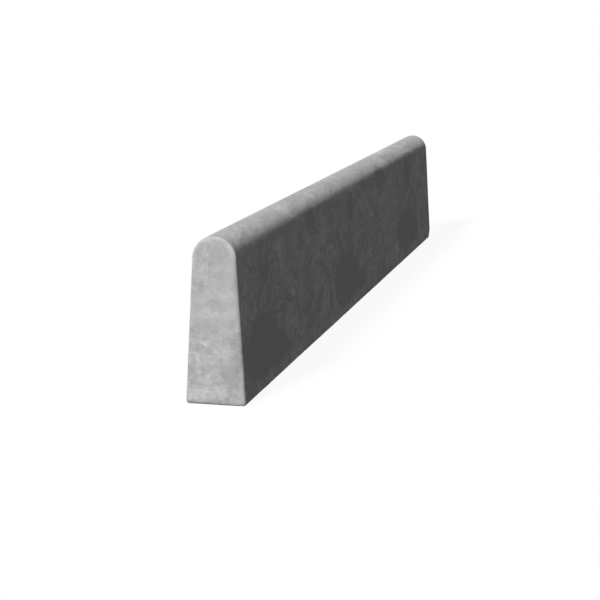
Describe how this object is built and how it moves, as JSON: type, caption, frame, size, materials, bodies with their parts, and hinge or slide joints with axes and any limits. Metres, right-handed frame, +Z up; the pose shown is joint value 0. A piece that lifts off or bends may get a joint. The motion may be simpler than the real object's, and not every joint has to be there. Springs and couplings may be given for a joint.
{
  "type": "concrete edger",
  "caption": "Slender precast concrete edging unit with battered faces and a half-round nose, cast round a light welded wire ladder.",
  "frame": {"origin": "middle of the base, on the surface that the edger stands on", "axes": "+X along the edger, +Y across it, +Z up to the crest of the half-round nose"},
  "size_m": [1, 0.055, 0.15],
  "materials": {
    "concrete": "matte",
    "steel_wire": "satin",
    "spacer_plastic": "matte"
  },
  "bodies": {
    "root": {"concrete_body": "concrete", "upper_bar": "steel_wire", "lower_bar": "steel_wire", "cross_wire_1": "steel_wire", "cross_wire_2": "steel_wire", "cross_wire_3": "steel_wire", "cross_wire_4": "steel_wire", "cross_wire_5": "steel_wire", "nose_spacer_1": "spacer_plastic", "nose_spacer_2": "spacer_plastic", "base_spacer_1": "spacer_plastic", "base_spacer_2": "spacer_plastic"}
  },
  "joints": []
}
